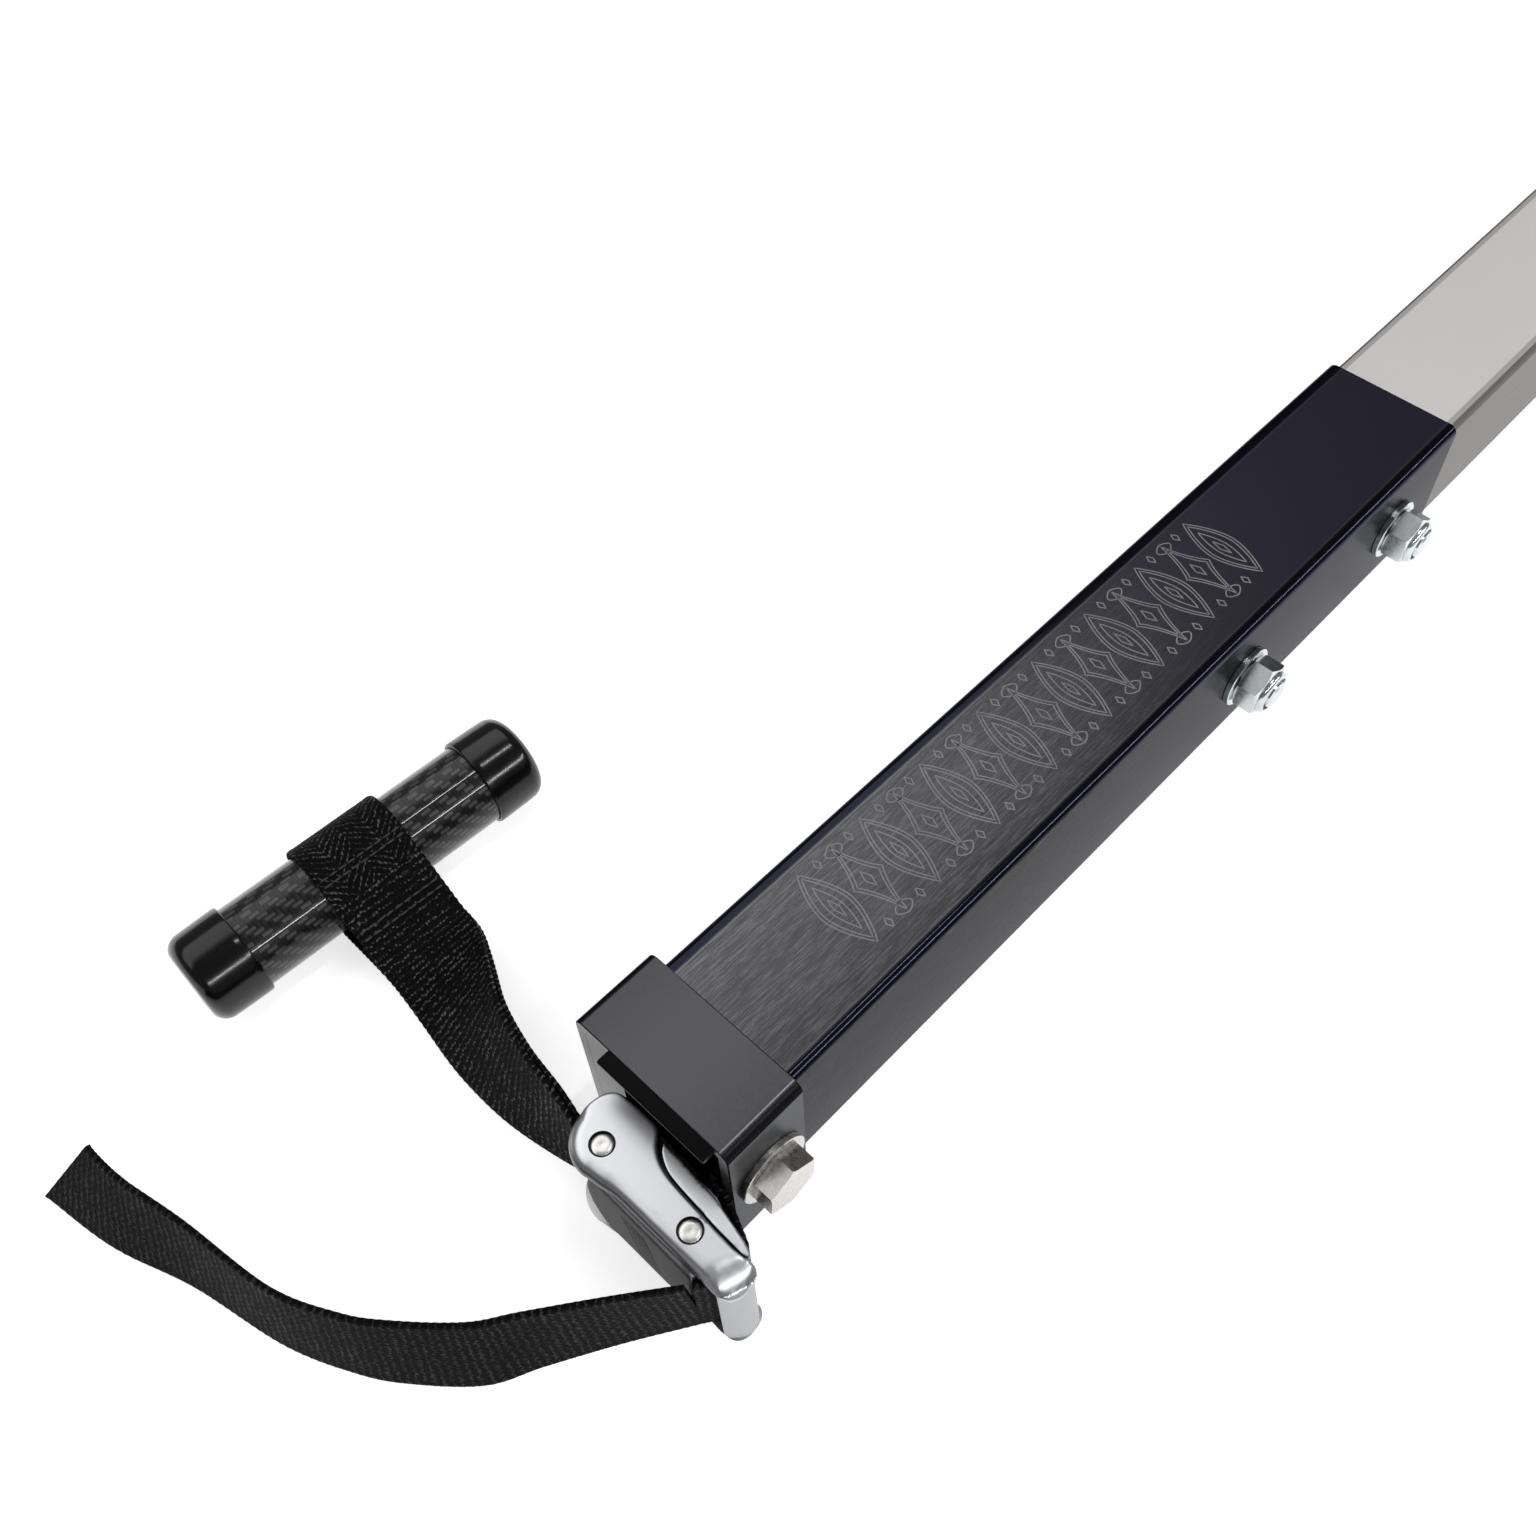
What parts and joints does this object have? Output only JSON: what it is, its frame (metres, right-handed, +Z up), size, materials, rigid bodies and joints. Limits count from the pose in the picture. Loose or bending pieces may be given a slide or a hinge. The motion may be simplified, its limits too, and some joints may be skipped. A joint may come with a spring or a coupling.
{
  "type": "telescoping square bar with strap handle",
  "caption": "Square telescoping bar with an end collar, a cam buckle at the mouth, a webbing tail and a short T-handle on a sewn sling.",
  "frame": {"origin": "underside of the end collar, straight below the anchor bolt", "axes": "+X along the bar from its mouth to its far end, +Z up, +Y to the handle's side"},
  "size_m": [0.7023, 0.1642, 0.046],
  "materials": {
    "black_anodised": "brushed",
    "silver_anodised": "satin",
    "black_collar": "satin",
    "black_nylon": "satin",
    "stainless": "satin",
    "zinc_plate": "bright",
    "lever_grey": "satin",
    "pin_steel": "satin",
    "rubber": "matte",
    "webbing": "woven",
    "cast_silver": "satin",
    "carbon_tube": "gloss",
    "cap_vinyl": "gloss"
  },
  "bodies": {
    "bar": {"outer_sleeve": "black_anodised", "inner_tube": "silver_anodised", "end_collar": "black_collar", "edge_strip": "black_nylon", "anchor_block": "black_nylon", "anchor_bolt": "stainless", "anchor_washer": "stainless", "anchor_insert": "stainless", "clamp_bolts": "zinc_plate", "clamp_washers": "zinc_plate", "clamp_nuts": "zinc_plate", "crush_tubes": "silver_anodised", "end_boot": "rubber", "strap_root": "webbing"},
    "buckle": {"buckle_frame": "cast_silver", "fixed_bar": "pin_steel", "cam_pin": "pin_steel", "cam_spring": "pin_steel", "strap_lead": "webbing", "tail_strap": "webbing"},
    "lever": {"cam_lever": "lever_grey"},
    "sling": {"sling_eye": "webbing", "sling_webbing": "webbing", "sling_grip_loop": "webbing"},
    "grip": {"grip_tube": "carbon_tube", "grip_cap_left": "cap_vinyl", "grip_cap_right": "cap_vinyl"}
  },
  "joints": [
    {"name": "strap_fold", "type": "hinge", "parent": "bar", "child": "buckle", "pos_m": [-0.0126, -0.022, 0.0171], "axis": [0, 0, 1], "range_deg": [0, 20]},
    {"name": "cam_release", "type": "hinge", "parent": "buckle", "child": "lever", "pos_m": [-0.0235, -0.024, 0.0171], "axis": [0, 0, 1], "range_deg": [0, 14], "stiffness_Nm_per_rad": 0.3, "springref_deg": -11.46},
    {"name": "sling_swing", "type": "hinge", "parent": "buckle", "child": "sling", "pos_m": [-0.0235, 0.0025, 0.0171], "axis": [0, 0, 1], "range_deg": [-15, 15]},
    {"name": "grip_spin", "type": "hinge", "parent": "sling", "child": "grip", "pos_m": [-0.0115, 0.109, 0.0132], "axis": [0.9986, -0.0523, 0], "continuous": true}
  ]
}
